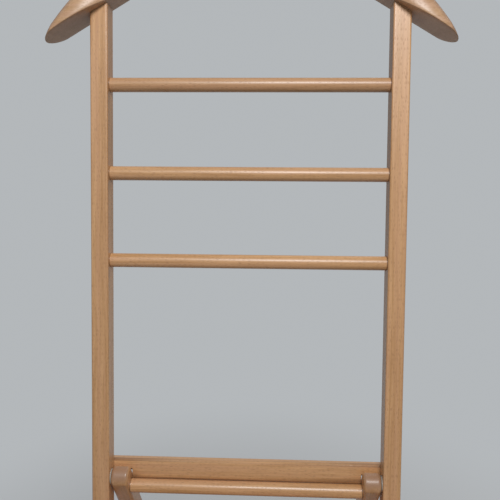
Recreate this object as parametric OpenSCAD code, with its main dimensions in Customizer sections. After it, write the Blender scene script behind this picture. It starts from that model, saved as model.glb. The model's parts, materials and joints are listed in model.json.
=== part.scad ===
// Folding clothes valet chair in beech.
// A leaning front frame carries a shoulder hanger and three rungs. Two rear legs turn on it, and a slatted
// seat hangs on the rear legs and rests on the frame's bearer. X runs across, Y to the back, Z up, and the
// floor is Z = 0. Frame places are measured from the leg pivot, along the leaning uprights.

/* [Stance] */
// Backward lean of the front frame from the vertical, in degrees
lean = 16; // [12:0.5:20]
// Angle between the uprights and the open rear legs, in degrees
opening = 42; // [38:0.5:46]
// Height of the leg pivot above the floor
pivot_h = 532; // [500:1:570]

/* [Uprights] */
// Clear width between the uprights
inner_w = 316; // [290:1:360]
// Width of each upright, seen from the front
upright_w = 20; // [18:0.5:26]
// Depth of each upright, front to back
upright_d = 24; // [22:0.5:30]
// Radius of the long edges of the uprights
edge_r = 2; // [1:0.25:4]

/* [Hanger] */
// Width of the shoulder hanger's underside, tip to tip
hanger_w = 458; // [430:1:480]
// Radius of the hanger's domed top, across its length
dome_r = 24; // [20:0.5:28]
// Thickness of the hanger at its middle
hanger_t = 26; // [24:0.5:32]
// Radius of the hanger's top line, seen from the front
ridge_r = 266; // [264:1:290]
// Turn of each half of the hanger towards the front, in degrees
half_turn = 1.7; // [0:0.1:3]
// Radius of the arch at the middle of the underside
arch_r = 170; // [150:1:190]
// Slope of the straight arms of the hanger, in degrees
arm_slope = 31; // [28:0.5:32]
// Height of the underside's middle above the top rung
hanger_rise = 155.5; // [140:0.5:170]
// Distance of the arch's front ahead of the uprights' middle
arch_ahead = 14; // [13:0.5:16]
// Distance of the hanger's back behind the uprights' middle
hanger_behind = 16.5; // [14:0.5:18]
// Distance of the shoulders' front ahead of the uprights' middle
shoulder_ahead = 29.5; // [24:0.5:32]
// Radius of the shoulders' front edge, seen from above
shoulder_r = 80; // [60:1:100]
// Radius of the hollow between arch and shoulder, seen from above
hollow_r = 60; // [40:1:80]
// Radius of the tips, seen from above
tip_r = 25; // [22:0.5:28]
// Distance of the shoulders' widest place inside the tips
shoulder_back = 29; // [26:0.5:40]
// Diameter of the dowels under the hanger
hanger_dowel_dia = 8; // [6:0.5:10]
// Depth of each hanger dowel in its upright
hanger_dowel_in = 24; // [18:1:32]
// Depth of each hanger dowel in the hanger
hanger_dowel_out = 14; // [10:1:18]

/* [Rungs] */
// Diameter of the rungs
rung_dia = 16; // [13:0.5:18]
// Distance between rungs
rung_pitch = 100; // [80:1:115]
// Height of the lower rung above the leg pivot
rung_low = 256; // [230:1:280]
// Depth of each rung end in its upright
rung_in = 12; // [8:0.5:15]

/* [Flat rails] */
// Height of the back rail at its middle
back_rail_h = 25; // [20:0.5:27]
// Height of the back rail's ends, over the leg heads
back_rail_end_h = 14; // [13.5:0.5:18]
// Thickness of the back rail
back_rail_t = 12; // [10:0.5:16]
// Height of the bearer under the seat
bearer_h = 36; // [28:0.5:46]
// Thickness of the bearer
bearer_t = 14; // [12:0.5:18]
// Height of the front rail near the floor
front_rail_h = 30; // [24:0.5:40]
// Thickness of the front rail
front_rail_t = 12; // [10:0.5:16]
// Distance from the leg pivot down to the front rail's middle
front_rail_drop = 436; // [390:1:450]
// Radius of the long edges of the flat rails
rail_r = 3; // [1.5:0.25:4]
// Distance of the rail ends inside the uprights' outer faces
rail_inset = 3; // [0:0.5:6]

/* [Rear legs] */
// Thickness of each rear leg, seen from the front
leg_w = 20; // [18:0.5:24]
// Radius of the long edges of the rear legs
leg_edge_r = 3.5; // [1:0.25:4]
// Diameter of the bar between the leg heads
bar_dia = 16; // [12:0.5:16]
// Diameter of the bar's ends in the legs
bar_end_dia = 12; // [8:0.5:12]
// Distance from the leg pivot down the leg to the bar
bar_drop = 15; // [14:0.5:20]
// Distance of the bar ahead of the legs' middle line
bar_ahead = 3.5; // [0:0.5:3.5]
// Diameter of the stretcher near the floor
stretcher_dia = 16; // [13:0.5:18]
// Distance from the leg pivot down the leg to the stretcher
stretcher_drop = 468; // [410:1:490]
// Depth of each bar end in its leg
bar_in = 12; // [8:0.5:15]

/* [Seat] */
// Distance from the leg pivot down the leg to the seat pivot
seat_pin_drop = 98; // [94:0.5:106]
// Height of the seat pivot above the slats' tops
seat_sink = 14; // [13.5:0.25:17]
// Length of the full slats, across the chair
slat_length = 360; // [340:1:400]
// Front to back width of one slat
slat_w = 46; // [38:0.5:50]
// Thickness of the slats
slat_t = 12; // [10:0.5:16]
// Gap between slats
slat_gap = 8; // [5:0.5:12]
// Front to back width of the short rear slat
rear_slat_w = 46; // [36:0.5:48]
// Radius of the slats' long edges
slat_r = 3; // [2:0.25:4.5]
// Radius of the slats' corners, seen from above
slat_corner_r = 6; // [4:0.5:10]
// Clearance between the uprights and the first full slat
slat_clear = 6; // [4:0.5:10]
// Thickness of the seat side rails
seat_rail_w = 18; // [16:0.5:22]
// Height of the seat side rails
seat_rail_h = 24; // [20:0.5:30]
// Radius of the raised lug at the seat pivot
lug_r = 11; // [9:0.5:13]
// Radius of the hollow in front of the lug
lug_hollow_r = 9; // [6:0.5:10]
// Radius of the side rails' lower corners
toe_r = 12; // [8:0.5:14]
// Distance of the side rails' front ends behind the seat's front edge
seat_overhang = 12; // [6:0.5:20]
// Front to back thickness of the cross rail
cross_t = 18; // [14:0.5:24]
// Distance of the cross rail behind the side rails' front ends
cross_back = 14; // [12:0.5:40]
// Diameter of the cross rail's dowels
cross_dowel_dia = 7; // [6:0.5:8]
// Depth of each cross rail dowel in its side rail
cross_dowel_in = 11; // [8:0.5:13]
// Depth of each cross rail dowel in the cross rail
cross_dowel_out = 22; // [16:1:30]

/* [Pivots] */
// Diameter of the leg pivot bolts
leg_bolt_dia = 8; // [6:0.5:10]
// Diameter of the leg pivot bolts' heads
leg_head_dia = 13; // [11:0.5:15]
// Thickness of the leg pivot bolts' heads
leg_head_t = 3; // [2:0.25:4]
// Diameter of the seat pivot pins
seat_pin_dia = 7; // [6:0.5:8]
// Diameter of the seat pivot pins' heads
seat_head_dia = 12; // [10:0.5:14]
// Thickness of the seat pivot pins' heads
seat_head_t = 2.5; // [2:0.25:3.5]
// Diameter of the spacing washers
washer_dia = 18; // [15:0.5:20]
// Thickness of the spacing washers
washer_t = 1.2; // [0.8:0.1:2]
// Wood left between a pivot's end and the hidden face
blind_wall = 3; // [2:0.5:5]

/* [Screws and glides] */
// Diameter of the screws
screw_dia = 4; // [3:0.25:5]
// Diameter of the screw heads
screw_head_dia = 7; // [6:0.25:8]
// Length of the rail screws in the uprights
screw_in = 15; // [12:0.5:18]
// Length of the slat screws in the side rails
slat_screw_in = 14; // [10:0.5:18]
// Diameter of the glides under the feet
glide_dia = 16; // [12:0.5:18]
// Thickness of the glides
glide_t = 3; // [2:0.25:4]
// Diameter of the glides' nails
nail_dia = 3; // [2:0.25:3.5]
// Depth of the glides' nails in the feet
nail_in = 14; // [10:0.5:18]

/* [Fits] */
// Gap between faces of pieces that move past each other
free_gap = 0.3; // [0.2:0.05:0.6]
// Radial clearance of a turning pivot
run_fit = 0.05; // [0.03:0.01:0.09]
// Radial clearance of a glued, pressed or screwed round end
seat_fit = 0.02; // [0.01:0.01:0.05]

/* [Hidden] */
$fn = 72;

// Colours of the finished materials
beech = [0.80, 0.62, 0.45];
steel = [0.72, 0.72, 0.74];
nylon = [0.90, 0.89, 0.86];

// Length of a cutting block or bore that has to run out of the wood
past = 200;

// Number of full slats
slat_count = 4;

// Rounded cuts that meet in one line run this far past it, so that the faces cross
face_step = 0.05;

// The hanger's blank is this deep under its domed top
blank_h = 30;

// The blank runs this many degrees to each side, past the tips
blank_reach = 68;

// The folded legs lie between the rails in front of and behind the uprights
leg_d = upright_d - 2 * free_gap;

// Places across the chair, from its middle
upright_in = inner_w / 2;
upright_out = upright_in + upright_w;
upright_mid = upright_in + upright_w / 2;
leg_out = upright_in - washer_t - free_gap;
leg_in = leg_out - leg_w;
seat_out = leg_in - washer_t - free_gap;
seat_in = seat_out - seat_rail_w;
rail_half = upright_out - rail_inset;

// The hollow touches the arch's straight front and the shoulder's round front, seen from above
shoulder_x = hanger_w / 2 - shoulder_back;
hollow_x = shoulder_x - sqrt(pow(shoulder_r + hollow_r, 2) - pow(shoulder_r + hollow_r + arch_ahead - shoulder_ahead, 2));
touch_x = hollow_x + (shoulder_x - hollow_x) * hollow_r / (shoulder_r + hollow_r);
tip_mid_x = hanger_w / 2 - tip_r;
tip_mid_y = (hanger_behind - shoulder_ahead) / 2;

// Places along the uprights, from the leg pivot
rung_top_z = rung_low + 2 * rung_pitch;
arch_top_z = rung_top_z + hanger_rise;
arch_end_x = arch_r * sin(arm_slope);
arch_end_z = arch_top_z - arch_r * (1 - cos(arm_slope)) - face_step;
upright_top_z = arch_end_z - (upright_in - arch_end_x) * tan(arm_slope);
dowel_seat_z = arch_end_z - (upright_mid - arch_end_x) * tan(arm_slope);

// The open leg's rear face touches the rounded lower edge of the back rail's ends
back_rail_y = upright_d / 2;
stop_reach = leg_d / 2 + rail_r + free_gap;
stop_z = (stop_reach - (back_rail_y + rail_r) * cos(opening)) / sin(opening);
back_rail_end_z = stop_z - rail_r;
back_rail_top_z = back_rail_end_z + back_rail_end_h;

// Rear leg and seat places, level with the floor, from the leg pivot
leg_tilt = opening - lean;
seat_pin_y = seat_pin_drop * sin(leg_tilt);
seat_pin_z = -seat_pin_drop * cos(leg_tilt);
slat_under = -seat_sink - slat_t;
seat_under = slat_under - seat_rail_h;

// The first full slat starts ahead of the uprights' front faces
upright_face = upright_d / 2 + slat_clear;
slat_start = seat_pin_y + (upright_face - (seat_pin_z + slat_under) * sin(lean)) / cos(lean);
seat_reach = slat_start + slat_count * slat_w + (slat_count - 1) * slat_gap;
rear_slat_start = slat_start - slat_gap - rear_slat_w;
seat_rail_end = seat_reach - seat_overhang;
cross_mid = seat_rail_end - cross_back - cross_t / 2;

// The side rails rest on the bearer's rounded top front edge
bearer_edge_y = upright_d / 2 + bearer_t - rail_r;
bearer_edge_z = seat_pin_z + seat_under - free_gap - rail_r;
bearer_top_z = (bearer_edge_z - bearer_edge_y * sin(lean)) / cos(lean) + rail_r;

// The origin lies on the floor, midway between the seat's front edge and the rear feet
rear_foot_y = (pivot_h - glide_t) * tan(leg_tilt) + leg_d / 2 / cos(leg_tilt);
pivot_y = (seat_reach - seat_pin_y - rear_foot_y) / 2;

// Coordinates along the leaning frame
module frame() {
    translate([0, pivot_y, pivot_h]) rotate([-lean, 0, 0]) children();
}

// Coordinates along the open rear legs
module legs() {
    translate([0, pivot_y, pivot_h]) rotate([leg_tilt, 0, 0]) children();
}

// Level coordinates at the seat pivot
module seat() {
    translate([0, pivot_y + seat_pin_y, pivot_h + seat_pin_z]) children();
}

module both_sides() {
    children();
    mirror([1, 0, 0]) children();
}

// Cylinder along X from x0 to x1
module across(x0, x1, r) {
    translate([x0, 0, 0]) rotate([0, 90, 0]) cylinder(h = x1 - x0, r = r);
}

// Rectangle with round corners, centred
module rounded(w, h, r) {
    square([w - 2 * r, h], center = true);
    square([w, h - 2 * r], center = true);
    for (x = [-1, 1], y = [-1, 1])
        translate([x * (w / 2 - r), y * (h / 2 - r)]) circle(r = r);
}

// Bar along X with rounded long edges, centred
module bar_across(l, depth, height, r) {
    rotate([90, 0, 90]) translate([0, 0, -l / 2]) linear_extrude(l) rounded(depth, height, r);
}

// Everything under the glides' upper faces
module floor_cut() {
    translate([-past, -3 * past, glide_t - past]) cube([3 * past, 6 * past, past]);
}

// Countersunk screw along -Z, its head flush at Z = 0; grow widens it into its own hole
module screw(l, grow = 0) {
    head_h = (screw_head_dia - screw_dia) / 2;
    translate([0, 0, -head_h]) cylinder(h = head_h, r1 = screw_dia / 2 + grow, r2 = screw_head_dia / 2 + grow);
    translate([0, 0, -l]) cylinder(h = l - head_h, r = screw_dia / 2 + grow);
}

// Screws of the three flat rails on the right upright
module rail_screw_set(grow = 0) {
    translate([upright_mid, back_rail_y + back_rail_t, back_rail_end_z + back_rail_end_h / 2])
        rotate([-90, 0, 0]) screw(back_rail_t + screw_in, grow);
    for (z = [bearer_top_z - bearer_h / 4, bearer_top_z - bearer_h * 3 / 4])
        translate([upright_mid, -upright_d / 2 - bearer_t, z])
            rotate([90, 0, 0]) screw(bearer_t + screw_in, grow);
    for (z = [-1, 1])
        translate([upright_mid, -upright_d / 2 - front_rail_t, -front_rail_drop + z * front_rail_h / 4])
            rotate([90, 0, 0]) screw(front_rail_t + screw_in, grow);
}

// Pivot with a flush head whose outer face is at x_head, running inwards to x_end
module pivot(x_head, x_end, r, head_r, head_t) {
    across(x_head - head_t, x_head, head_r);
    across(x_end, x_head - head_t, r);
}

// Nail hole or nail under a foot whose middle is at y
module foot_nail(x, y, grow = 0) {
    translate([x, y, glide_t]) cylinder(h = nail_in, r = nail_dia / 2 + grow);
}

front_foot_y = pivot_y - (pivot_h - glide_t) * tan(lean);
rear_foot_mid_y = pivot_y + (pivot_h - glide_t) * tan(leg_tilt);
leg_mid = (leg_in + leg_out) / 2;

// ---- front frame ----

module upright() {
    color(beech) difference() {
        frame() difference() {
            translate([upright_mid, 0, -pivot_h - past])
                linear_extrude(pivot_h + past + upright_top_z) rounded(upright_w, upright_d, edge_r);
            arm_plane() translate([-past, -past, 0]) cube([3 * past, 2 * past, past]);
            for (z = [rung_low, rung_low + rung_pitch, rung_top_z])
                translate([0, 0, z]) across(0, upright_in + rung_in, rung_dia / 2 + seat_fit);
            across(0, upright_out - leg_head_t, leg_bolt_dia / 2 + seat_fit);
            across(upright_out - leg_head_t, upright_out + past, leg_head_dia / 2 + seat_fit);
            rail_screw_set(seat_fit);
            hanger_dowel(seat_fit);
        }
        floor_cut();
        foot_nail(upright_mid, front_foot_y, seat_fit);
    }
}

module upright_right() {
    upright();
}

module upright_left() {
    mirror([1, 0, 0]) upright();
}

// Axes at the arm's start: X along the arm, Z square to its underside
module arm_plane() {
    translate([arch_end_x, 0, arch_end_z]) rotate([0, arm_slope, 0]) children();
}

// Section of the hanger's blank at the ridge's radius: domed top over straight sides
module blank_section() {
    translate([ridge_r - dome_r, 0]) circle(r = dome_r);
    translate([ridge_r - dome_r - blank_h, -dome_r]) square([blank_h, 2 * dome_r]);
}

// Right half of the hanger's blank, turned towards the front
module half_blank() {
    intersection() {
        rotate([0, 0, -half_turn]) translate([0, 0, arch_top_z + hanger_t - ridge_r])
            rotate([90, 0, 0]) rotate([0, 0, 90 - blank_reach])
                rotate_extrude(angle = blank_reach + 10) blank_section();
        translate([0, -past, 0]) cube([2 * past, 2 * past, 5 * past]);
    }
}

// Everything under the arch and the straight arms, seen from the front
module under_outline() {
    translate([0, arch_top_z - arch_r]) circle(r = arch_r);
    polygon([
        [-arch_end_x, arch_end_z],
        [arch_end_x, arch_end_z],
        [hanger_w, arch_end_z - (hanger_w - arch_end_x) * tan(arm_slope)],
        [hanger_w, 0],
        [-hanger_w, 0],
        [-hanger_w, arch_end_z - (hanger_w - arch_end_x) * tan(arm_slope)]
    ]);
}

// What is cut away in front of the arch and the hollows, seen from above
module front_waste() {
    translate([-hollow_x, -past - arch_ahead]) square([2 * hollow_x, past]);
    for (x = [-hollow_x, hollow_x])
        translate([x, face_step - arch_ahead - hollow_r]) circle(r = hollow_r);
}

// What is cut away around the right shoulder and its tip, seen from above
module end_waste() {
    difference() {
        translate([touch_x, -past]) square([past, 2 * past]);
        translate([shoulder_x, shoulder_r - shoulder_ahead]) circle(r = shoulder_r);
    }
    difference() {
        translate([tip_mid_x, -past]) square([past, 2 * past]);
        translate([tip_mid_x, tip_mid_y]) circle(r = tip_r);
    }
}

module hanger() {
    color(beech) frame() difference() {
        both_sides() half_blank();
        translate([0, past, 0]) rotate([90, 0, 0]) linear_extrude(2 * past) under_outline();
        linear_extrude(5 * past) {
            front_waste();
            both_sides() end_waste();
            translate([-hanger_w, hanger_behind]) square([2 * hanger_w, past]);
        }
        both_sides() hanger_dowel(seat_fit);
    }
}

module hanger_dowel(grow = 0) {
    translate([upright_mid, 0, dowel_seat_z - hanger_dowel_in])
        cylinder(h = hanger_dowel_in + hanger_dowel_out, r = hanger_dowel_dia / 2 + grow);
}

module hanger_dowels() {
    color(beech) frame() both_sides() hanger_dowel();
}

module rung(z) {
    color(beech) frame() translate([0, 0, z]) across(-upright_in - rung_in, upright_in + rung_in, rung_dia / 2);
}

module rung_top() {
    rung(rung_top_z);
}

module rung_middle() {
    rung(rung_low + rung_pitch);
}

module rung_lower() {
    rung(rung_low);
}

module back_rail() {
    color(beech) frame() difference() {
        union() {
            translate([0, back_rail_y + back_rail_t / 2, back_rail_top_z - back_rail_end_h / 2])
                bar_across(2 * rail_half, back_rail_t, back_rail_end_h, rail_r);
            translate([0, back_rail_y + back_rail_t / 2, back_rail_top_z - back_rail_h / 2])
                bar_across(2 * (leg_in - free_gap), back_rail_t, back_rail_h, rail_r);
        }
        both_sides() rail_screw_set(seat_fit);
    }
}

module seat_bearer() {
    color(beech) frame() difference() {
        translate([0, -(upright_d + bearer_t) / 2, bearer_top_z - bearer_h / 2])
            bar_across(2 * rail_half, bearer_t, bearer_h, rail_r);
        both_sides() rail_screw_set(seat_fit);
    }
}

module front_rail() {
    color(beech) frame() difference() {
        translate([0, -(upright_d + front_rail_t) / 2, -front_rail_drop])
            bar_across(2 * rail_half, front_rail_t, front_rail_h, rail_r);
        both_sides() rail_screw_set(seat_fit);
    }
}

module rail_screws() {
    color(steel) frame() both_sides() rail_screw_set();
}

module leg_pivots() {
    color(steel) frame() both_sides()
        pivot(upright_out, leg_in + blind_wall, leg_bolt_dia / 2, leg_head_dia / 2, leg_head_t);
}

module washer(x, bolt_dia) {
    difference() {
        across(x, x + washer_t, washer_dia / 2);
        across(x - past, x + past, bolt_dia / 2 + run_fit);
    }
}

module leg_washers() {
    color(nylon) frame() both_sides() washer(upright_in - washer_t, leg_bolt_dia);
}

module glide(x, y) {
    translate([x, y, 0]) cylinder(h = glide_t, r = glide_dia / 2);
    foot_nail(x, y);
}

module front_glides() {
    color(nylon) both_sides() glide(upright_mid, front_foot_y);
}

// ---- rear legs ----

// Half profile of the round head, revolved about the pivot
module head_profile() {
    intersection() {
        rounded(leg_d, leg_w, leg_edge_r);
        translate([0, -leg_w]) square([leg_d, 2 * leg_w]);
    }
}

module rear_leg() {
    color(beech) difference() {
        legs() difference() {
            union() {
                translate([leg_mid, 0, -pivot_h - past])
                    linear_extrude(pivot_h + past) rounded(leg_w, leg_d, leg_edge_r);
                translate([leg_mid, 0, 0]) rotate([0, 90, 0]) rotate_extrude() head_profile();
            }
            across(leg_in + blind_wall - run_fit, leg_out + past, leg_bolt_dia / 2 + run_fit);
            translate([0, -bar_ahead, -bar_drop]) across(0, leg_in + bar_in, bar_end_dia / 2 + seat_fit);
            translate([0, 0, -stretcher_drop]) across(0, leg_in + bar_in, stretcher_dia / 2 + seat_fit);
            translate([0, 0, -seat_pin_drop]) {
                across(0, leg_out - seat_head_t, seat_pin_dia / 2 + seat_fit);
                across(leg_out - seat_head_t, leg_out + past, seat_head_dia / 2 + seat_fit);
            }
        }
        floor_cut();
        foot_nail(leg_mid, rear_foot_mid_y, seat_fit);
    }
}

module rear_leg_right() {
    rear_leg();
}

module rear_leg_left() {
    mirror([1, 0, 0]) rear_leg();
}

module hinge_bar() {
    color(beech) legs() translate([0, -bar_ahead, -bar_drop]) {
        across(-leg_in, leg_in, bar_dia / 2);
        across(-leg_in - bar_in, leg_in + bar_in, bar_end_dia / 2);
    }
}

module rear_stretcher() {
    color(beech) legs() translate([0, 0, -stretcher_drop])
        across(-leg_in - bar_in, leg_in + bar_in, stretcher_dia / 2);
}

module seat_pivots() {
    color(steel) seat() both_sides()
        pivot(leg_out, seat_in + blind_wall, seat_pin_dia / 2, seat_head_dia / 2, seat_head_t);
}

module seat_washers() {
    color(nylon) seat() both_sides() washer(leg_in - washer_t, seat_pin_dia);
}

module rear_glides() {
    color(nylon) both_sides() glide(leg_mid, rear_foot_mid_y);
}

// ---- seat ----

// Side view of a side rail, the front of the seat to the right and the pivot at the origin
module seat_rail_outline() {
    circle(r = lug_r);
    difference() {
        translate([-lug_r, slat_under - lug_r]) square([2 * lug_r + lug_hollow_r, lug_r - slat_under]);
        translate([lug_r + lug_hollow_r, slat_under + lug_hollow_r]) circle(r = lug_hollow_r);
        translate([lug_r, slat_under + lug_hollow_r]) square([past, past]);
    }
    translate([toe_r - lug_r, seat_under]) square([seat_rail_end + lug_r - 2 * toe_r, seat_rail_h]);
    translate([-lug_r, seat_under + toe_r]) square([seat_rail_end + lug_r, seat_rail_h - toe_r]);
    for (f = [toe_r - lug_r, seat_rail_end - toe_r])
        translate([f, seat_under + toe_r]) circle(r = toe_r);
}

// Screw places on a slat's middle line
module slat_screw_set(grow = 0) {
    for (f = slat_middles)
        translate([(seat_in + seat_out) / 2, -f, -seat_sink]) screw(slat_t + slat_screw_in, grow);
}

slat_middles = concat(
    [rear_slat_start + rear_slat_w / 2],
    [for (i = [0 : slat_count - 1]) slat_start + slat_w / 2 + i * (slat_w + slat_gap)]
);

module cross_dowel_set(grow = 0) {
    translate([0, -cross_mid, seat_under + seat_rail_h / 2])
        across(seat_in - cross_dowel_out, seat_in + cross_dowel_in, cross_dowel_dia / 2 + grow);
}

module seat_rail() {
    color(beech) seat() difference() {
        translate([seat_in, 0, 0]) rotate([90, 0, -90]) translate([0, 0, -seat_rail_w])
            linear_extrude(seat_rail_w) seat_rail_outline();
        across(seat_in + blind_wall - run_fit, seat_out + past, seat_pin_dia / 2 + run_fit);
        slat_screw_set(seat_fit);
        cross_dowel_set(seat_fit);
    }
}

module seat_rail_right() {
    seat_rail();
}

module seat_rail_left() {
    mirror([1, 0, 0]) seat_rail();
}

module seat_cross_rail() {
    color(beech) seat() difference() {
        translate([-seat_in, -cross_mid - cross_t / 2, seat_under]) cube([2 * seat_in, cross_t, seat_rail_h]);
        both_sides() cross_dowel_set(seat_fit);
    }
}

module seat_dowels() {
    color(beech) seat() both_sides() cross_dowel_set();
}

// One slat of length l and width w whose middle line lies f ahead of the seat pivot
module slat(f, l, w) {
    color(beech) seat() difference() {
        intersection() {
            translate([0, -f, -seat_sink - slat_t / 2]) bar_across(l, w, slat_t, slat_r);
            translate([0, -f, -seat_sink - slat_t]) linear_extrude(slat_t) rounded(l, w, slat_corner_r);
        }
        both_sides() slat_screw_set(seat_fit);
    }
}

module slat_rear() {
    slat(slat_middles[0], 2 * (seat_out - free_gap), rear_slat_w);
}

module slat_1() {
    slat(slat_middles[1], slat_length, slat_w);
}

module slat_2() {
    slat(slat_middles[2], slat_length, slat_w);
}

module slat_3() {
    slat(slat_middles[3], slat_length, slat_w);
}

module slat_4() {
    slat(slat_middles[4], slat_length, slat_w);
}

module slat_screws() {
    color(steel) seat() both_sides() slat_screw_set();
}

upright_left();
upright_right();
hanger();
hanger_dowels();
rung_top();
rung_middle();
rung_lower();
back_rail();
seat_bearer();
front_rail();
rail_screws();
leg_pivots();
leg_washers();
front_glides();
rear_leg_left();
rear_leg_right();
hinge_bar();
rear_stretcher();
seat_pivots();
seat_washers();
rear_glides();
seat_rail_left();
seat_rail_right();
seat_cross_rail();
seat_dowels();
slat_rear();
slat_1();
slat_2();
slat_3();
slat_4();
slat_screws();
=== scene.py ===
"""Finishes for a folding clothes valet chair: lacquered beech, plated screws and bolts, nylon glides.

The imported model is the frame. X runs across, Y to the back and Z up, in metres, and the floor is Z = 0.
"""

import json
import math
from collections import namedtuple

import bmesh
import bpy
from bpy.props import FloatProperty, FloatVectorProperty, IntProperty, PointerProperty
from bpy.types import Operator, Panel, PropertyGroup
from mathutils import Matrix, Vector

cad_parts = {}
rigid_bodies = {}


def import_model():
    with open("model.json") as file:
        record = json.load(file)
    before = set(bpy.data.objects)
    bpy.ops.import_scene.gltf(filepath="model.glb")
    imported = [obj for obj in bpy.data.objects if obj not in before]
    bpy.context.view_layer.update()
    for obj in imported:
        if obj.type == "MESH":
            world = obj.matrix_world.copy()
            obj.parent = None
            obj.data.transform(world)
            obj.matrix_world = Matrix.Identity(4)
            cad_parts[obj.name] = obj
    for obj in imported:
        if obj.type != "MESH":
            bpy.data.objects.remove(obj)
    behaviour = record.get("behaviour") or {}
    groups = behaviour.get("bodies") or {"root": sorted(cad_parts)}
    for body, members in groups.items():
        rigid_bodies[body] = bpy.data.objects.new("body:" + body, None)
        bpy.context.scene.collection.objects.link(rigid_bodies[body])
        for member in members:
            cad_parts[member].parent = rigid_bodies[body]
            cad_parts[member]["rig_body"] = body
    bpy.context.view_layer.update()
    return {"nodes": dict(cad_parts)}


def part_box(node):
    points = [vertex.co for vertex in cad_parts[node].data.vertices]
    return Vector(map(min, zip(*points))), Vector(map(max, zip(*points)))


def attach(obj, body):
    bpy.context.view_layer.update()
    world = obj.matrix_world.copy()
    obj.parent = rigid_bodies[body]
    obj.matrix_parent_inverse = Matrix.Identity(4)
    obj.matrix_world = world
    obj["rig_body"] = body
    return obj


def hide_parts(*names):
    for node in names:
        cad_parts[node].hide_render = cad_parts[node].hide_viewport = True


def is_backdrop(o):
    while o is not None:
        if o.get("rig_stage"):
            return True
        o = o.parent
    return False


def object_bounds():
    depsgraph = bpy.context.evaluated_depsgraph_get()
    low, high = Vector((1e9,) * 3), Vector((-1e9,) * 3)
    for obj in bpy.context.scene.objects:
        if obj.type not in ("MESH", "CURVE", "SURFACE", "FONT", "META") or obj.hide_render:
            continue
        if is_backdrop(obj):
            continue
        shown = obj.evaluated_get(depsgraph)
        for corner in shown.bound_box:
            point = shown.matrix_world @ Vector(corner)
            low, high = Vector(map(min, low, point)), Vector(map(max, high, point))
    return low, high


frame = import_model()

bl_info = {
    "name": "Clothes valet chair",
    "version": (1, 0, 0),
    "blender": (4, 5, 0),
    "location": "View3D > Sidebar > Valet chair",
    "description": "Beech, metal and nylon finishes for a folding clothes valet chair",
    "category": "Object",
}

NODES = frame["nodes"]
BODY_OF = {name: obj["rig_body"] for name, obj in NODES.items()}
HANGER_LOW, HANGER_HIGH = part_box("hanger")
X, Y, Z = (1, 0, 0), (0, 1, 0), (0, 0, 1)


# ---- sizes and colours that a user would change ----

def colour_value(name, description, default):
    return FloatVectorProperty(
        name=name, description=description, subtype="COLOR", size=3, min=0, max=1, default=default)


def length_value(name, description, default, low=0.0, high=1.0):
    return FloatProperty(
        name=name, description=description, unit="LENGTH", min=low, max=high, default=default)


def share_value(name, description, default):
    return FloatProperty(
        name=name, description=description, subtype="FACTOR", min=0, max=1, default=default)


def angle_value(name, description, degrees):
    return FloatProperty(
        name=name, description=description, unit="ROTATION", default=math.radians(degrees))


def power_value(name, description, default):
    return FloatProperty(
        name=name, description=description, unit="POWER", min=0, max=200, default=default)


def place_value(name, description, default):
    return FloatVectorProperty(
        name=name, description=description, subtype="TRANSLATION", unit="LENGTH", size=3, default=default)


class BeechFinish(PropertyGroup):
    """Colours and figure of the wood, and its lacquer"""
    light: colour_value("Light wood", "Colour of the pale early wood", (0.664, 0.382, 0.182))
    dark: colour_value("Dark wood", "Colour of the darker growth bands", (0.455, 0.235, 0.094))
    blush: colour_value("Blush", "Pinkish tone of some stripes along the grain", (0.575, 0.310, 0.165))
    end: colour_value("End grain", "Colour of faces cut across the grain", (0.330, 0.180, 0.108))
    fleck: colour_value("Flecks", "Colour of the flecks and of the line at a hole", (0.270, 0.125, 0.055))
    band_pitch: length_value("Growth bands", "Mean width of one growth band", 0.0034, 0.001, 0.02)
    fleck_length: length_value("Fleck length", "Length of a cell that holds one fleck", 0.0052, 0.001, 0.02)
    fleck_width: length_value("Fleck width", "Width of a cell that holds one fleck", 0.0010, 0.0004, 0.005)
    # Edge width and edge weight set a painted highlight: a lighter colour along the edges
    edge_width: length_value("Edge width", "Width of the polish along edges", 0.0014, 0.0002, 0.01)
    band_weight: share_value("Band weight", "How much the growth bands darken the wood", 0.40)
    cloud_weight: share_value("Cloud weight", "How much broad clouds darken the wood", 0.25)
    line_weight: share_value("Line weight", "How much fine lines darken the wood", 0.40)
    fibre_weight: share_value("Fibre weight", "How much single fibres darken the wood", 0.28)
    blush_weight: share_value("Blush weight", "How much of the blush shows in its stripes", 0.50)
    fleck_weight: share_value("Fleck weight", "How much the flecks darken the wood", 0.42)
    end_weight: share_value("End grain weight", "How much of its own colour the end grain has", 0.80)
    # Painted highlight: how much lighter the edges are made
    edge_weight: share_value("Edge weight", "How much polish lightens the edges", 0.14)
    hole_weight: share_value("Hole line weight", "How dark the line at a hole is", 0.75)
    roughness: share_value("Roughness", "Roughness of the wood under the lacquer", 0.46)
    lacquer: share_value("Lacquer", "Weight of the satin lacquer coat", 0.38)
    satin: share_value("Satin", "Roughness of the lacquer where nothing rubs it", 0.23)
    relief: length_value("Grain relief", "Depth of the grain felt through the lacquer", 0.00012, 0.0, 0.001)
    lean: angle_value("Upright lean", "Backward lean of the uprights, which their grain follows", 16)
    leg_tilt: angle_value("Rear leg tilt", "Tilt of the rear legs, which their grain follows", 26)


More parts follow.
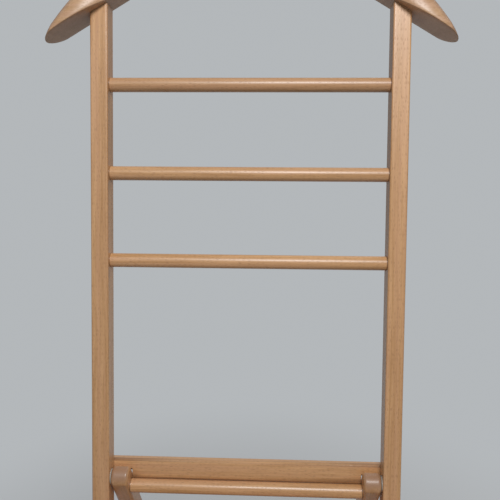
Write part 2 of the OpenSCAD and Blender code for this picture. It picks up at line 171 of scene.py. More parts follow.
class HangerForm(PropertyGroup):
    """Sizes of the shoulder hanger"""
    width: length_value("Width", "Width of the underside, tip to tip", HANGER_HIGH.x - HANGER_LOW.x)
    arch_top: length_value(
        "Arch", "Height of the arch's underside above the leg pivot, along the uprights", 0.6115)
    arch_r: length_value("Arch radius", "Radius of the arch's underside", 0.170)
    thickness: length_value("Thickness", "Thickness at the middle", 0.026)
    ridge_r: length_value("Top radius", "Radius of the top line, seen from the front", 0.266)
    arch_ahead: length_value("Arch front", "The arch's front ahead of the uprights' middle", 0.014)
    behind: length_value("Back", "The back behind the uprights' middle", 0.0165)
    shoulder_ahead: length_value(
        "Shoulder front", "The shoulders' front ahead of the uprights' middle", 0.0295)
    shoulder_r: length_value(
        "Shoulder radius", "Radius of the shoulders' front edge, seen from above", 0.080)
    shoulder_back: length_value(
        "Shoulder place", "Distance of the shoulders' widest place inside the tips", 0.029)
    hollow_r: length_value(
        "Hollow radius", "Radius of the hollow between arch and shoulder, seen from above", 0.060)
    tip_r: length_value("Tip radius", "Radius of the tips, seen from above", 0.025)
    edge: length_value("Edge", "Rounding of the edges of the underside", 0.0010)
    slope: angle_value("Arm slope", "Slope of the straight arms", 31)
    stations: IntProperty(
        name="Stations", description="Cross sections along the hanger", default=150, min=40, max=400)


class GripForm(PropertyGroup):
    """The round that a hand finds on the back rail"""
    radius: length_value("Grip round", "Round along the rail's lower front edge", 0.0060, 0.002, 0.009)
    drop: length_value("Grip drop", "How far the round lets the rail reach lower", 0.0020, 0.0, 0.0022)


class HardwareFinish(PropertyGroup):
    """Metal and nylon, and the recesses of screws and bolts"""
    steel: colour_value("Plated steel", "Colour of the zinc plated screws and bolts", (0.56, 0.55, 0.52))
    nylon: colour_value("Nylon", "Colour of the washers and glides", (0.36, 0.32, 0.27))
    cross_reach: share_value("Cross reach", "Reach of the cross recess as a share of the head", 0.56)
    cross_slot: length_value("Cross slot", "Width of each slot of the cross", 0.0011, 0.0005, 0.002)
    cross_depth: length_value("Cross depth", "Depth of the cross recess", 0.0013, 0.0005, 0.002)
    socket_flats: length_value("Hex socket", "Width across the flats of a socket", 0.005, 0.003, 0.007)
    socket_depth: length_value("Socket depth", "Depth of a socket", 0.0018, 0.001, 0.0025)
    edge: length_value("Edge", "Width of the bevel round each metal head", 0.0003, 0.0001, 0.0008)
    sides: IntProperty(
        name="Sides", description="Flat sides of each turned piece", default=40, min=16, max=96)


class StageLook(PropertyGroup):
    """Floor, background and lamps"""
    background: colour_value("Background", "Colour behind the chair", (0.455, 0.477, 0.494))
    floor: colour_value("Floor", "Colour of the floor near the chair", (0.60, 0.585, 0.56))
    tint: colour_value("Ambient colour", "Colour of the even light", (0.66, 0.80, 1.0))
    floor_roughness: share_value("Floor roughness", "Roughness of the floor", 0.85)
    ambient: share_value("Ambient light", "Strength of the even light from all round", 0.20)
    gloss: share_value("Gloss", "Share of the background that glossy surfaces show", 0.45)
    key_power: power_value("Key light", "Power of the lamp above the front", 19.5)
    key_size: length_value("Key size", "Diameter of the lamp above the front", 0.6, 0.05, 5.0)
    key_place: place_value("Key place", "Place of the lamp above the front", (0.14, -0.94, 1.97))
    key_lift: length_value("Key aim", "Height above the chair's middle that this lamp points at", 0.10)
    back_power: power_value("Back light", "Power of the lamp behind the chair", 20.0)
    back_size: length_value("Back size", "Diameter of the lamp behind the chair", 1.6, 0.05, 5.0)
    back_place: place_value("Back place", "Place of the lamp behind the chair", (0.9, 1.9, 1.9))
    floor_size: length_value("Floor radius", "Radius of the floor disc", 14.0, 2.0, 50.0)
    fade_start: length_value(
        "Fade start", "Distance at which the floor starts to turn into the background", 0.35, 0.1, 10.0)
    fade_end: length_value(
        "Fade end", "Distance at which the floor has the background's colour", 1.0, 0.5, 20.0)


class CameraPlace(PropertyGroup):
    """Where the picture is taken from"""
    place: place_value("Place", "Place of the camera", (0.0313, -0.5804, 1.0160))
    turn: FloatVectorProperty(
        name="Turn", description="Rotation of the camera about X, Y and Z", subtype="EULER",
        unit="ROTATION", size=3, default=[math.radians(a) for a in (70.901, 0.141, 2.456)])
    sensor: FloatProperty(
        name="Sensor", description="Width of the sensor", unit="CAMERA", default=36.0, min=1, max=100)
    lens: FloatProperty(
        name="Lens", description="Focal length", unit="CAMERA", default=43.2, min=10, max=200)


# ---- shader maths ----

class Wire:
    """A shader socket. Arithmetic on it adds nodes to its tree."""

    def __init__(self, tree, socket=None):
        self.tree = tree
        self.socket = socket

    def node(self, kind, settings=None, inputs=None, out=0):
        """Adds a node, sets its settings first and then its inputs, and returns one of its outputs."""
        made = self.tree.nodes.new(kind)
        for key, value in (settings or {}).items():
            setattr(made, key, value)
        for key, value in (inputs or {}).items():
            if isinstance(value, Wire):
                self.tree.links.new(value.socket, made.inputs[key])
            else:
                made.inputs[key].default_value = value
        return Wire(self.tree, made.outputs[out] if made.outputs else None)

    def math(self, operation, *values):
        return self.node("ShaderNodeMath", {"operation": operation}, dict(enumerate(values)))

    def __add__(self, other):
        return self.math("ADD", self, other)

    def __sub__(self, other):
        return self.math("SUBTRACT", self, other)

    def __rsub__(self, other):
        return self.math("SUBTRACT", other, self)

    def __mul__(self, other):
        return self.math("MULTIPLY", self, other)

    def __truediv__(self, other):
        return self.math("DIVIDE", self, other)

    __radd__ = __add__
    __rmul__ = __mul__

    def root(self):
        return self.math("SQRT", self)

    def size(self):
        return self.math("ABSOLUTE", self)

    def most(self, other):
        return self.math("MAXIMUM", self, other)

    def rise(self, low, high):
        """0 below low, 1 above high, and smooth between them."""
        return self.node("ShaderNodeMapRange", {"interpolation_type": "SMOOTHSTEP"},
                         {"Value": self, "From Min": low, "From Max": high})

    def between(self, first, second):
        """Colour that goes from first to second as this value goes from 0 to 1."""
        return self.node("ShaderNodeMix", {"data_type": "RGBA"}, {0: self, 6: first, 7: second}, out=2)

    def dot(self, axis):
        return self.node("ShaderNodeVectorMath", {"operation": "DOT_PRODUCT"},
                         {0: self, 1: axis}, out="Value")

    def reach(self):
        """Length of a vector."""
        return self.node("ShaderNodeVectorMath", {"operation": "LENGTH"}, {0: self}, out="Value")

    def scaled(self, factor):
        return self.node("ShaderNodeVectorMath", {"operation": "SCALE"}, {0: self, "Scale": factor})

    def vector(self, *parts):
        return self.node("ShaderNodeCombineXYZ", inputs=dict(enumerate(parts)))


def rgba(colour, gain=1.0):
    """Opaque colour times one gain, or times one for each of red, green and blue."""
    gains = gain if isinstance(gain, tuple) else (gain, gain, gain)
    return tuple(min(part * factor, 1.0) for part, factor in zip(colour, gains)) + (1.0,)


def new_material(name):
    material = bpy.data.materials.new(name)
    material.use_nodes = True
    material.node_tree.nodes.clear()
    return material, Wire(material.node_tree)


def coordinates(start, kind="Object"):
    return start.node("ShaderNodeTexCoord", out=kind)


def noise(place, detail=2.0, roughness=0.5):
    return place.node("ShaderNodeTexNoise", inputs={
        "Vector": place, "Scale": 1.0, "Detail": detail, "Roughness": roughness})


def bump(height, strength, depth):
    return height.node("ShaderNodeBump", inputs={"Strength": strength, "Distance": depth, "Height": height})


def surface(start, inputs):
    shader = start.node("ShaderNodeBsdfPrincipled", inputs=inputs)
    start.node("ShaderNodeOutputMaterial", inputs={"Surface": shader})


# ---- beech ----

# Gains of red, green and blue that make some pieces lighter, darker or of another tone than the rest
PIECE_GAINS = {
    "hanger": (0.91, 0.98, 1.15),
    "upright_right": (1.07, 1.07, 1.07),
    "rung_top": (0.90, 0.90, 0.93),
    "rung_lower": (1.10, 1.10, 1.10),
    "hinge_bar": (1.12, 1.12, 1.12),
    "back_rail": (1.07, 1.07, 1.07),
}

# Roughness of the lacquer where clothes rub it
RUBBED = {"hanger": 0.42, "rung_top": 0.29, "rung_middle": 0.29, "rung_lower": 0.29}

# Length along the grain and width across it of each pattern in the wood
DRIFT = (0.16, 0.05)
CLOUDS = (0.30, 0.028)
STRIPES = (0.22, 0.0052)
LINES = (0.060, 0.0017)
FIBRES = (0.0110, 0.00050)
BAND_LENGTH = 0.35

# Distance of the tree's heart from the model's origin in the two directions across the grain, and how far
# the growth bands wander in each
HEART = (0.035, 0.060)
WANDER = (0.012, 0.008)

# Steps of the patterns from one seed to the next, along the grain and across it
SEED_STEPS = (1.7, 0.31, 0.53)
SEED_PITCH = 0.618

# Gains of the light wood in the painted highlight along edges, and of the flecks' colour in the line at a
# hole
EDGE_HIGHLIGHT_GAIN = 1.15
HOLE_GAIN = 0.55

# Start and end of the dark line at a hole, measured back from the hole's rim
HOLE_LINE = (0.0011, 0.0003)

LACQUER_IOR = 1.5


class Grain:
    """The wood of one piece: places along and across its grain, and the patterns that follow them."""

    def __init__(self, place, along, side, seed):
        self.place = place
        self.seed = seed
        self.along = Vector(along)
        self.across = (Vector(side), self.along.cross(Vector(side)))
        self.parts = [place.dot(axis) + seed * step
                      for axis, step in zip((self.along, *self.across), SEED_STEPS)]

    def stretched(self, long, wide):
        """Coordinates in which a feature of this length and width measures 1."""
        length, width, depth = self.parts
        return self.place.vector(length / long, width / wide, depth / wide)

    def pattern(self, size, detail=2.0, roughness=0.5):
        return noise(self.stretched(*size), detail, roughness)

    def bands(self, pitch):
        """Growth bands round a heart outside the piece, which wander a little along it."""
        drift = self.pattern(DRIFT) - 0.5
        aside, behind = [self.place.dot(axis) + heart + drift * wander
                         for axis, heart, wander in zip(self.across, HEART, WANDER)]
        ring = (aside * aside + behind * behind).root() / pitch
        rings = self.place.vector(ring, self.parts[0] / BAND_LENGTH, self.seed)
        return noise(rings, detail=1.5, roughness=0.45)

    def flecks(self, look):
        """1 on the short flecks. Each lies in a cell of its own, and some cells have none."""
        cells = {"Vector": self.stretched(look.fleck_length, look.fleck_width), "Scale": 1.0}
        near = self.place.node("ShaderNodeTexVoronoi", {"feature": "F1"}, cells)
        tint = self.place.node("ShaderNodeTexVoronoi", {"feature": "F1"}, cells, out="Color")
        chance = tint.node("ShaderNodeSeparateColor", inputs={"Color": tint})
        return (1 - near.rise(0.16, 0.52)) * chance.rise(0.20, 0.80)

    def ends(self):
        """1 on faces cut across the grain, which drink more lacquer and are darker."""
        return coordinates(self.place, "Normal").dot(self.along).size().rise(0.25, 0.95)


def painted_edge_highlight(start, width):
    """1 along edges, where a painted highlight makes the wood lighter, as if the rounded edges caught the
    light.
    """
    rounded = start.node("ShaderNodeBevel", {"samples": 4}, {"Radius": width})
    plain = start.node("ShaderNodeNewGeometry", out="Normal")
    return (1 - rounded.dot(plain)).rise(0.02, 0.25)


def hole_line(place, hole_x):
    """1 from just before the rims of the holes that a round piece enters at its two ends."""
    across = place.node("ShaderNodeSeparateXYZ", inputs={0: place}).size()
    return across.rise(hole_x - HOLE_LINE[0], hole_x - HOLE_LINE[1])


def beech(name, along, side, seed, hole_x=None):
    """Lacquered beech for a piece. Its grain runs along one axis, and side is square to that axis."""
    look = bpy.context.scene.valet_beech
    material, start = new_material("beech_" + name)
    place = coordinates(start)
    grain = Grain(place, along, side, seed)
    bands = grain.bands(look.band_pitch)
    fibres = grain.pattern(FIBRES, detail=3.0, roughness=0.6)
    lines = grain.pattern(LINES, roughness=0.6)
    clouds = grain.pattern(CLOUDS, detail=3.0)
    stripes = grain.pattern(STRIPES)
    flecks = grain.flecks(look)

    # Noise keeps near 0.5, so a rise from about 0.35 to about 0.65 brings out its two sides
    darkness = bands.rise(0.34, 0.68) * look.band_weight + clouds.rise(0.30, 0.72) * look.cloud_weight
    darkness = darkness + lines.rise(0.36, 0.66) * look.line_weight
    darkness = darkness + fibres.rise(0.35, 0.65) * look.fibre_weight

    # Some pieces are made lighter, darker or of another tone by their gains
    piece_gains = PIECE_GAINS.get(name, (1.0, 1.0, 1.0))
    colour = darkness.between(rgba(look.light, piece_gains), rgba(look.dark, piece_gains))
    colour = (stripes.rise(0.40, 0.66) * look.blush_weight).between(colour, rgba(look.blush, piece_gains))
    colour = (flecks * look.fleck_weight).between(colour, rgba(look.fleck))
    colour = (grain.ends() * look.end_weight).between(colour, rgba(look.end))
    # Painted highlight: the edges are made lighter, as if they caught the light
    edge_highlight = painted_edge_highlight(start, look.edge_width) * look.edge_weight
    colour = edge_highlight.between(colour, rgba(look.light, EDGE_HIGHLIGHT_GAIN))
    if hole_x is not None:
        line = hole_line(place, hole_x) * look.hole_weight
        colour = line.between(colour, rgba(look.fleck, HOLE_GAIN))

    surface(start, {
        "Base Color": colour,
        "Roughness": look.roughness - fibres * 0.10 + flecks * 0.12,
        "Normal": bump(fibres * 0.6 + (1 - flecks) * 0.7 + bands * 0.4, strength=0.5, depth=look.relief),
        "IOR": LACQUER_IOR,
        "Coat Weight": look.lacquer,
        "Coat Roughness": RUBBED.get(name, look.satin),
        "Coat IOR": LACQUER_IOR,
    })
    return material


# ---- metal and nylon ----

# Features to the metre
STEEL_PATCHES = 700.0
STEEL_GRIT = 5200.0
NYLON_CLOUDS = 260.0
NYLON_GRIT = 2600.0


def plated_steel(start, look):
    """Zinc plate, bright with faint cloudy patches."""
    place = coordinates(start)
    patches = noise(place.scaled(STEEL_PATCHES), detail=3.0)
    grit = noise(place.scaled(STEEL_GRIT))
    surface(start, {
        "Base Color": patches.between(rgba(look.steel, 0.86), rgba(look.steel, 1.12)),
        "Metallic": 1.0,
        "Roughness": patches * 0.14 + grit * 0.10 + 0.20,
        "Normal": bump(grit, strength=0.25, depth=0.00004),
    })


def moulded_nylon(start, look):
    """Dull nylon with the fine grit of its mould."""
    place = coordinates(start)
    clouds = noise(place.scaled(NYLON_CLOUDS))
    grit = noise(place.scaled(NYLON_GRIT))
    surface(start, {
        "Base Color": clouds.between(rgba(look.nylon, 0.93), rgba(look.nylon, 1.04)),
        "Roughness": grit * 0.18 + 0.38,
        "Normal": bump(grit, strength=0.2, depth=0.00005),
    })


def shared(build):
    """The material that build gives its surface and its name, made when it is first asked for."""
    found = bpy.data.materials.get(build.__name__)
    if found:
        return found
    material, start = new_material(build.__name__)
    build(start, bpy.context.scene.valet_hardware)
    return material


# ---- finishes on CAD nodes, and new pieces in their place ----

def finish(name, material):
    """Gives a CAD node one material."""
    slots = NODES[name].data.materials
    slots.clear()
    slots.append(material)


def finish_beech(names, along, side, hole_x=None):
    """Gives CAD nodes beech, each with wood of its own."""
    for name in names:
        seed = 1.0 + sorted(NODES).index(name) * SEED_PITCH
        finish(name, beech(name, along, side, seed, hole_x))


def stand_in(pieces, node):
    """Puts new pieces on the body of the CAD node that they show."""
    for piece in pieces:
        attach(piece, BODY_OF[node])
        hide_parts(node)


def new_object(name, mesh):
    """Object of a finished bmesh, which is freed."""
    data = bpy.data.meshes.new(name)
    mesh.to_mesh(data)
    mesh.free()
    made = bpy.data.objects.new(name, data)
    bpy.context.scene.collection.objects.link(made)
    return made


def smooth_piece(name, mesh, material, degrees):
    """A new piece, smooth except where its faces meet at more than this angle."""
    piece = new_object(name, mesh)
    piece.data.shade_smooth()
    piece.data.set_sharp_from_angle(angle=math.radians(degrees))
    piece.data.materials.append(material)
    return piece


def up_along(angle):
    """Upward direction that leans to the back by this angle."""
    return (0, math.sin(angle), math.cos(angle))


def upright_axes(lean):
    """Middle of the leg pivots, and the directions square to the uprights' faces and along them."""
    low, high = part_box("leg_pivots")
    return (low + high) / 2, Vector((0, math.cos(lean), -math.sin(lean))), Vector(up_along(lean))


# ---- turned screws, bolts and pins ----

# Middle of the head's outer face, outward axis, radii of head and shank, height of the head, whole length
Pin = namedtuple("Pin", "head axis head_r shank_r head_h length")

# Corners of a CAD solid less than this apart along its axis lie in one plane
TOUCH = 1e-5

# Point of a screw: distances back from its tip, and the share of the shank's radius that it has there
SCREW_POINT = ((0.0, 0.35), (0.004, 0.80), (0.007, 0.98))

# End of a bolt: height of its bevel, and the share of the shank's radius that the bevel leaves
BOLT_END = (0.0008, 0.86)

# Bevels of the heads, as multiples of the edge
SCREW_BEVEL = 1.6
BOLT_BEVEL = 1.5

# Share of its size that a recess has at its floor
CROSS_TAPER = 0.62
SOCKET_TAPER = 0.97


def islands(node):
    """Corner points of each separate solid of a CAD node, from left to right and upwards."""
    mesh = NODES[node].data
    keys = {}
    index = [keys.setdefault(tuple(round(c, 5) for c in v.co), len(keys)) for v in mesh.vertices]
    parent = list(range(len(keys)))

    def top(i):
        while parent[i] != i:
            parent[i] = parent[parent[i]]
            i = parent[i]
        return i

    for edge in mesh.edges:
        parent[top(index[edge.vertices[0]])] = top(index[edge.vertices[1]])
    groups = {}
    for vertex, i in zip(mesh.vertices, index):
        groups.setdefault(top(i), []).append(vertex.co.copy())

    def place(points):
        first = points[0]
        return round(first.x, 3), round(first.z, 3), first.y

    return sorted(groups.values(), key=place)


def measure(points, axis):
    """Sizes of one headed pin, which lies along an axis with its head at either end."""
    axis = Vector(axis).normalized()

    def end(sign):
        reach = max(sign * p.dot(axis) for p in points)
        rim = [p for p in points if reach - sign * p.dot(axis) < TOUCH]
        centre = sum(rim, Vector()) / len(rim)
        return centre, max((p - centre).length for p in rim)

    (head, head_r), (tip, tip_r) = end(1), end(-1)
    if tip_r > head_r:
        head, head_r, tip, tip_r, axis = tip, tip_r, head, head_r, -axis
    depths = sorted(round((head - p).dot(axis), 6) for p in points)
    head_h = next(depth for depth in depths if depth > TOUCH)
    return Pin(head, axis, head_r, tip_r, head_h, (head - tip).dot(axis))


def polygon(r, count):
    """Corners of a regular polygon."""
    turns = [2 * math.pi * i / count for i in range(count)]
    return [(r * math.cos(turn), r * math.sin(turn)) for turn in turns]


def cross(reach, slot):
    """Corners of a cross with four equal arms."""
    half = slot / 2
    corners = []
    for turn in range(4):
        for x, y in ((reach, -half), (reach, half), (half, half)):
            for _ in range(turn):
                x, y = -y, x
            corners.append((x, y))
    return corners


def screw_shape(look, pin):
    """Countersunk head with a cross recess, on a shank that comes to a point."""
    profile = [(pin.length - back, pin.shank_r * share) for back, share in SCREW_POINT]
    profile += [(pin.head_h, profile[-1][1]), (look.edge, pin.head_r - look.edge),
                (0.0, pin.head_r - look.edge * SCREW_BEVEL)]
    recess = cross(pin.head_r * look.cross_reach, look.cross_slot)
    return profile, recess, look.cross_depth, CROSS_TAPER


def bolt_shape(look, pin):
    """Flat round head with a hex socket, on a straight shank with a small bevel at its end."""
    end, share = BOLT_END
    bevel = look.edge * BOLT_BEVEL
    profile = [(pin.length, pin.shank_r * share), (pin.length - end, pin.shank_r),
               (pin.head_h, pin.shank_r), (pin.head_h, pin.head_r),
               (bevel, pin.head_r), (0.0, pin.head_r - bevel)]
    recess = polygon(look.socket_flats / math.sqrt(3), 6)
    return profile, recess, look.socket_depth, SOCKET_TAPER


def turned(name, pin, sides, shape):
    """A closed turned piece. Its shape is a profile of depth and radius from the tip to the head's rim, then
    the outline of the recess in the head, the recess's depth, and the share of its size at its floor."""
    profile, recess, depth, taper = shape
    across = pin.axis.orthogonal().normalized()
    up = pin.axis.cross(across)
    mesh = bmesh.new()

    def ring(corners, sink):
        return [mesh.verts.new(pin.head - pin.axis * sink + across * x + up * y) for x, y in corners]

    def wall(low, high):
        for i in range(len(low)):
            j = (i + 1) % len(low)
            mesh.faces.new((low[i], low[j], high[j], high[i]))

    rings = [ring(polygon(r, sides), sink) for sink, r in profile]
    mesh.faces.new(rings[0][::-1])
    for low, high in zip(rings, rings[1:]):
        wall(low, high)
    rim, top = rings[-1], profile[-1][0]
    mouth = ring(recess, top)
    floor = ring([(x * taper, y * taper) for x, y in recess], top + depth)
    rim_edges = [mesh.edges.get((rim[i], rim[i - 1])) for i in range(sides)]
    mouth_edges = [mesh.edges.new((mouth[i - 1], mouth[i])) for i in range(len(mouth))]
    bmesh.ops.triangle_fill(mesh, use_beauty=True, edges=rim_edges + mouth_edges)
    wall(floor, mouth)
    mesh.faces.new(floor)
    bmesh.ops.recalc_face_normals(mesh, faces=mesh.faces)
    return smooth_piece(name, mesh, shared(plated_steel), degrees=32)


def fasteners(node, axis, shape):
    """Turned pieces in the places of a CAD node's screws, bolts or pins, which lie along one axis."""
    look = bpy.context.scene.valet_hardware
    pins = [measure(points, axis) for points in islands(node)]
    stand_in([turned(f"{node}_{number}", pin, look.sides, shape(look, pin))
              for number, pin in enumerate(pins, start=1)], node)


# ---- one operator for each piece or group of like pieces ----

class ValetUprights(Operator):
    """Beech with its grain up the leaning uprights and the hidden hanger dowels"""
    bl_idname = "valet.uprights"
    bl_label = "Uprights"

    def execute(self, context):
        finish_beech(("upright_left", "upright_right", "hanger_dowels"),
                     up_along(context.scene.valet_beech.lean), X)
        return {"FINISHED"}


class ValetHanger(Operator):
    """Shoulder hanger, carved from one piece: a flat underside, wide shoulders and a top rounded all over"""
    bl_idname = "valet.hanger"
    bl_label = "Hanger"

    # Power of the section's curve at the arch, and how much less it is at the shoulders: 2 is an ellipse,
    # and more is squarer. It changes over a stretch whose start and length are shares of half the width.
    arch_power = 3.0
    power_drop = 0.9
    change_start = 0.4
    change_length = 0.5
    # The higher this power, the later the top comes down to the thin edge of the tip
    tip_power = 24
    # The rounding of the lower edges takes at most this share of the section's half depth and of its height,
    # and its middle point lies this share of the rounding from both faces
    edge_share = 0.4
    edge_middle = 0.3
    # Points of the section over the top and along the underside
    top_steps = 30
    under_steps = 8

    def execute(self, context):
        form = context.scene.valet_hanger
        pivot, back, up = upright_axes(context.scene.valet_beech.lean)
        half = form.width / 2
        mesh = bmesh.new()

        def corner(x, y, z):
            return mesh.verts.new(pivot + Vector((x, 0, 0)) + back * y + up * z)

        # Stations crowd towards the tips
        stations = [-half * math.cos(math.pi * i / form.stations) for i in range(1, form.stations)]
        loops = [[corner(x, y, z) for y, z in self.section(form, x)] for x in stations]
        tips = [corner(x, self.tip_y(form), self.under(form, half)) for x in (-half, half)]
        count = len(loops[0])
        for first, second in zip(loops, loops[1:]):
            for k in range(count):
                n = (k + 1) % count
                mesh.faces.new((first[k], first[n], second[n], second[k]))
        for tip, loop in zip(tips, (loops[0], loops[-1])):
            for k in range(count):
                mesh.faces.new((tip, loop[k], loop[(k + 1) % count]))
        bmesh.ops.recalc_face_normals(mesh, faces=mesh.faces)
        piece = smooth_piece("shoulder_hanger", mesh, beech("hanger", X, Y, seed=4.3), degrees=50)
        stand_in([piece], "hanger")
        return {"FINISHED"}

    @staticmethod
    def tip_y(form):
        return (form.behind - form.shoulder_ahead) / 2

    @staticmethod
    def under(form, x):
        """Height of the underside at x: the arch, then a straight arm."""
        x = abs(x)
        end = form.arch_r * math.sin(form.slope)
        if x < end:
            return form.arch_top - form.arch_r + math.sqrt(form.arch_r ** 2 - x ** 2)
        return form.arch_top - form.arch_r * (1 - math.cos(form.slope)) - (x - end) * math.tan(form.slope)

    def edges(self, form, x):
        """Front and back of the underside at x, seen from above."""
        x = abs(x)
        both = form.shoulder_r + form.hollow_r
        step = form.shoulder_ahead - form.arch_ahead
        shoulder_x = form.width / 2 - form.shoulder_back
        hollow_x = shoulder_x - math.sqrt(both ** 2 - (both - step) ** 2)
        touch_x = hollow_x + (shoulder_x - hollow_x) * form.hollow_r / both
        tip_x = form.width / 2 - form.tip_r
        front, back = -form.arch_ahead, form.behind
        if x > touch_x:
            round_y = math.sqrt(form.shoulder_r ** 2 - (x - shoulder_x) ** 2)
            front = form.shoulder_r - form.shoulder_ahead - round_y
        elif x > hollow_x:
            front -= form.hollow_r - math.sqrt(form.hollow_r ** 2 - (x - hollow_x) ** 2)
        if x > tip_x:
            round_y = math.sqrt(max(form.tip_r ** 2 - (x - tip_x) ** 2, 0.0))
            front = max(front, self.tip_y(form) - round_y)
            back = min(back, self.tip_y(form) + round_y)
        return front, back

    def rise(self, form, x):
        """Height of the top above the underside at x."""
        middle = form.arch_top + form.thickness - form.ridge_r
        height = middle + math.sqrt(form.ridge_r ** 2 - x ** 2) - self.under(form, x)
        return height * math.sqrt(1 - (2 * abs(x) / form.width) ** self.tip_power)

    def power(self, form, x):
        """Power of the section's curve at x, which changes smoothly along the arm."""
        half = form.width / 2
        share = min(max((abs(x) - self.change_start * half) / (self.change_length * half), 0.0), 1.0)
        smooth = share * share * (3 - 2 * share)
        return self.arch_power - self.power_drop * smooth

    def section(self, form, x):
        """Cross section at x, from the front edge over the top to the back edge and along the underside."""
        front, back = self.edges(form, x)
        low, rise, bend = self.under(form, x), self.rise(form, x), 2 / self.power(form, x)
        middle, reach = (front + back) / 2, (back - front) / 2
        soft = min(form.edge, reach * self.edge_share, rise * self.edge_share)
        points = [(front, low + soft)]
        for k in range(1, self.top_steps):
            c, s = math.cos(math.pi * k / self.top_steps), math.sin(math.pi * k / self.top_steps)
            points.append((middle - reach * math.copysign(abs(c) ** bend, c), low + rise * s ** bend))
        mid = soft * self.edge_middle
        points += [(back, low + soft), (back - mid, low + mid), (back - soft, low)]
        flat = 2 * (reach - soft)
        points += [(back - soft - flat * k / self.under_steps, low) for k in range(1, self.under_steps)]
        points += [(front + soft, low), (front + mid, low + mid)]
        return points


class ValetRungs(Operator):
    """Beech rungs and bars, their grain across the chair, with a fine dark line at each hole"""
    bl_idname = "valet.rungs"
    bl_label = "Rungs and bars"

    def execute(self, context):
        upright_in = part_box("upright_right")[0].x
        leg_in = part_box("rear_leg_right")[0].x
        finish_beech(("rung_top", "rung_middle", "rung_lower"), X, Z, upright_in)
        finish_beech(("hinge_bar", "rear_stretcher"), X, Z, leg_in)
        return {"FINISHED"}


class ValetFlatRails(Operator):
    """Beech seat bearer and front rail"""
    bl_idname = "valet.flat_rails"
    bl_label = "Flat rails"

    def execute(self, context):
        finish_beech(("seat_bearer", "front_rail"), X, Y)
        return {"FINISHED"}


class ValetBackRail(Operator):
    """Back rail, with the wide round along its lower front edge where a hand takes hold"""
    bl_idname = "valet.back_rail"
    bl_label = "Back rail"

    # Corners closer than this are one
    weld = 1e-6
    # Corners this close to the rail's lower face move down with it
    lower_band = 0.0025
    # Cuts through the round, as shares of its radius, and the power of its curve
    cuts = (1.0, 0.8, 0.6, 0.45, 0.3, 0.18, 0.08, 0.02)
    power = 1.3

    def execute(self, context):
        form = context.scene.valet_grip
        pivot, back, up = upright_axes(context.scene.valet_beech.lean)
        mesh = bmesh.new()
        mesh.from_mesh(NODES["back_rail"].data)
        bmesh.ops.remove_doubles(mesh, verts=mesh.verts, dist=self.weld)

        def height(vertex):
            return (vertex.co - pivot).dot(up)

        def depth(vertex):
            return (vertex.co - pivot).dot(back)

        low = min(height(vertex) for vertex in mesh.verts)
        front = min(depth(vertex) for vertex in mesh.verts)
        for vertex in mesh.verts:
            if height(vertex) < low + self.lower_band:
                vertex.co -= up * form.drop
        low -= form.drop
        for share in self.cuts:
            bmesh.ops.bisect_plane(mesh, geom=mesh.verts[:] + mesh.edges[:] + mesh.faces[:],
                                   plane_co=pivot + up * (low + form.radius * share), plane_no=up)
        for vertex in mesh.verts:
            above = form.radius - height(vertex) + low
            if above > 0:
                share = min(above / form.radius, 1.0)
                curve = (1 - share ** self.power) ** (1 / self.power)
                vertex.co += back * max(front + form.radius * (1 - curve) - depth(vertex), 0.0)
        piece = smooth_piece("hand_rail", mesh, beech("back_rail", X, Y, seed=2.9), degrees=35)
        stand_in([piece], "back_rail")
        return {"FINISHED"}


class ValetRearLegs(Operator):
    """Beech with its grain along the rear legs, so that their round heads show end grain"""
    bl_idname = "valet.rear_legs"
    bl_label = "Rear legs"

    def execute(self, context):
        finish_beech(("rear_leg_left", "rear_leg_right"), up_along(-context.scene.valet_beech.leg_tilt), X)
        return {"FINISHED"}


class ValetSeat(Operator):
    """Beech slats, side rails, cross rail and dowels of the seat"""
    bl_idname = "valet.seat"
    bl_label = "Seat"

    def execute(self, context):
        slats = [name for name in NODES if name.startswith("slat_") and name != "slat_screws"]
        finish_beech(sorted(slats) + ["seat_cross_rail", "seat_dowels"], X, Y)
        finish_beech(("seat_rail_left", "seat_rail_right"), Y, X)
        return {"FINISHED"}


class ValetScrews(Operator):
    """Plated countersunk screws of the rails and slats, with cross recesses"""
    bl_idname = "valet.screws"
    bl_label = "Screws"

    def execute(self, context):
        square = upright_axes(context.scene.valet_beech.lean)[1]
        fasteners("rail_screws", square, screw_shape)
        fasteners("slat_screws", Z, screw_shape)
        return {"FINISHED"}


class ValetPivots(Operator):
    """Plated pivot bolts and seat pins, with hex sockets in their flush heads"""
    bl_idname = "valet.pivots"
    bl_label = "Pivots"

    def execute(self, context):
        for node in ("leg_pivots", "seat_pivots"):
            fasteners(node, X, bolt_shape)
        return {"FINISHED"}


class ValetNylon(Operator):
    """Nylon spacing washers and foot glides"""
    bl_idname = "valet.nylon"
    bl_label = "Washers and glides"

    def execute(self, context):
        for node in ("leg_washers", "seat_washers", "front_glides", "rear_glides"):
            finish(node, shared(moulded_nylon))
        return {"FINISHED"}


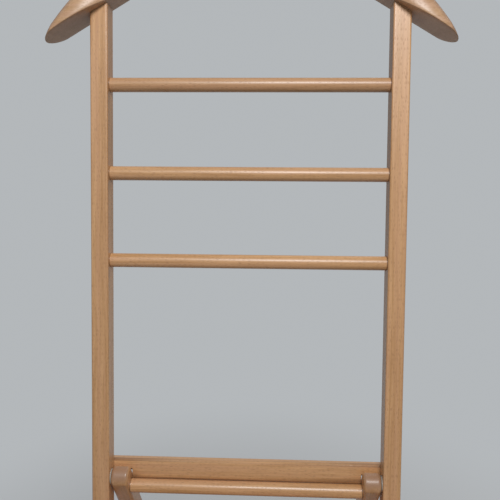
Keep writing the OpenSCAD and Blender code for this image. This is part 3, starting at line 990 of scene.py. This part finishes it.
class ValetStage(Operator):
    """Pale floor, soft studio light and the camera"""
    bl_idname = "valet.stage"
    bl_label = "Stage"

    def execute(self, context):
        scene = context.scene
        look = scene.valet_stage
        low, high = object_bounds()
        middle = (low + high) / 2
        self.floor(look)
        self.surroundings(scene, look)
        aim = middle + Vector((0, 0, look.key_lift))
        self.lamp("key_light", look.key_power, look.key_size, look.key_place, aim)
        self.lamp("back_light", look.back_power, look.back_size, look.back_place, middle, mirrored=False)
        self.camera(scene, scene.valet_camera)
        scene.view_settings.view_transform = "Standard"
        return {"FINISHED"}

    def floor(self, look):
        mesh = bmesh.new()
        bmesh.ops.create_circle(mesh, cap_ends=True, segments=128, radius=look.floor_size)
        floor = new_object("floor", mesh)
        floor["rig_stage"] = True
        material, start = new_material("floor")
        matt = start.node("ShaderNodeBsdfPrincipled", inputs={
            "Base Color": rgba(look.floor), "Roughness": look.floor_roughness})
        glow = start.node("ShaderNodeEmission", inputs={"Color": rgba(look.background), "Strength": 1.0})
        far = coordinates(start).reach().rise(look.fade_start, look.fade_end)
        blend = start.node("ShaderNodeMixShader", inputs={0: far * self.seen(start, look), 1: matt, 2: glow})
        start.node("ShaderNodeOutputMaterial", inputs={"Surface": blend})
        floor.data.materials.append(material)

    def surroundings(self, scene, look):
        world = bpy.data.worlds.new("studio")
        world.use_nodes = True
        world.node_tree.nodes.clear()
        start = Wire(world.node_tree)
        even = start.node("ShaderNodeBackground", inputs={
            "Color": rgba(look.tint), "Strength": look.ambient})
        plain = start.node("ShaderNodeBackground", inputs={
            "Color": rgba(look.background), "Strength": 1.0})
        blend = start.node("ShaderNodeMixShader", inputs={0: self.seen(start, look), 1: even, 2: plain})
        start.node("ShaderNodeOutputWorld", inputs={"Surface": blend})
        scene.world = world

    @staticmethod
    def seen(start, look):
        """1 for what the camera sees directly or through something clear, and less for what gloss shows."""
        direct = start.node("ShaderNodeLightPath", out="Is Camera Ray")
        clear = start.node("ShaderNodeLightPath", out="Is Transmission Ray")
        gloss = start.node("ShaderNodeLightPath", out="Is Glossy Ray") * look.gloss
        return direct.most(clear).most(gloss)

    @staticmethod
    def lamp(name, power, size, place, target, mirrored=True):
        """Round lamp that points at its target. Glossy surfaces mirror it or not."""
        data = bpy.data.lights.new(name, "AREA")
        data.energy = power
        data.shape = "DISK"
        data.size = size
        lamp = bpy.data.objects.new(name, data)
        lamp.location = place
        lamp.visible_glossy = mirrored
        lamp.rotation_euler = (target - Vector(place)).to_track_quat("-Z", "Y").to_euler()
        bpy.context.scene.collection.objects.link(lamp)

    @staticmethod
    def camera(scene, look):
        data = bpy.data.cameras.new("camera")
        data.sensor_width = look.sensor
        data.lens = look.lens
        data.clip_start = 0.01
        camera = bpy.data.objects.new("camera", data)
        camera.location = look.place
        camera.rotation_euler = look.turn
        scene.collection.objects.link(camera)
        scene.camera = camera


STEPS = (ValetUprights, ValetHanger, ValetRungs, ValetFlatRails, ValetBackRail, ValetRearLegs, ValetSeat,
         ValetScrews, ValetPivots, ValetNylon, ValetStage)


class ValetPanel(Panel):
    """Lists the pieces of the valet chair"""
    bl_idname = "VIEW3D_PT_valet_chair"
    bl_label = "Valet chair"
    bl_space_type = "VIEW_3D"
    bl_region_type = "UI"
    bl_category = "Valet chair"

    def draw(self, context):
        for step in STEPS:
            self.layout.operator(step.bl_idname)


GROUPS = {
    "valet_beech": BeechFinish,
    "valet_hanger": HangerForm,
    "valet_grip": GripForm,
    "valet_hardware": HardwareFinish,
    "valet_stage": StageLook,
    "valet_camera": CameraPlace,
}


def register():
    for group in GROUPS.values():
        bpy.utils.register_class(group)
    for kind in STEPS + (ValetPanel,):
        bpy.utils.register_class(kind)
    for name, group in GROUPS.items():
        setattr(bpy.types.Scene, name, PointerProperty(type=group))


def unregister():
    for name in GROUPS:
        delattr(bpy.types.Scene, name)
    for kind in (ValetPanel,) + STEPS[::-1]:
        bpy.utils.unregister_class(kind)
    for group in GROUPS.values():
        bpy.utils.unregister_class(group)


def main():
    register()
    for step in STEPS:
        group, name = step.bl_idname.split(".")
        getattr(getattr(bpy.ops, group), name)()


if __name__ == "__main__":
    main()
